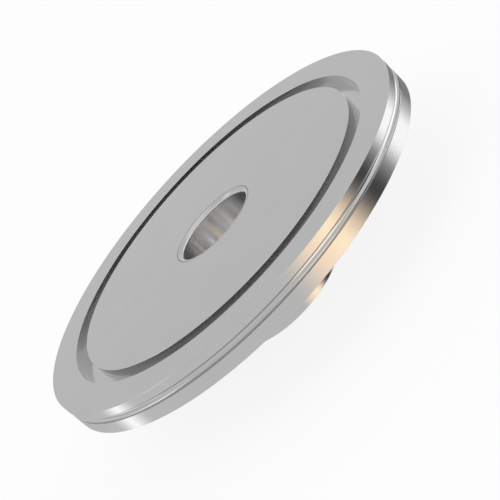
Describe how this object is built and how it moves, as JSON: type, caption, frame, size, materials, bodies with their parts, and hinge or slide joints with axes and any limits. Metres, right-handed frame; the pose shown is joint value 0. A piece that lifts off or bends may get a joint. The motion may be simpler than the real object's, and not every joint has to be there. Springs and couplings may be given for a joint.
{
  "type": "vacuum flange adapter",
  "caption": "Round welded adapter: a wide clamp flange with a centring trench and rim groove, a short tube through its middle, and a small clamp flange on the far end.",
  "frame": {"origin": "centre of the small flange's end face, which the part stands on", "axes": "+Z along the common axis, from the small flange to the large flange's sealing face; X and Y are alike, because every piece is round"},
  "size_m": [0.18, 0.18, 0.0415],
  "materials": {
    "turned_steel": "fine turned, satin",
    "tube_steel": "drawn tube, satin",
    "small_flange_steel": "fine turned, satin"
  },
  "bodies": {
    "root": {"large_clamp_flange": "turned_steel", "connecting_tube": "tube_steel", "small_clamp_flange": "small_flange_steel"}
  },
  "joints": []
}
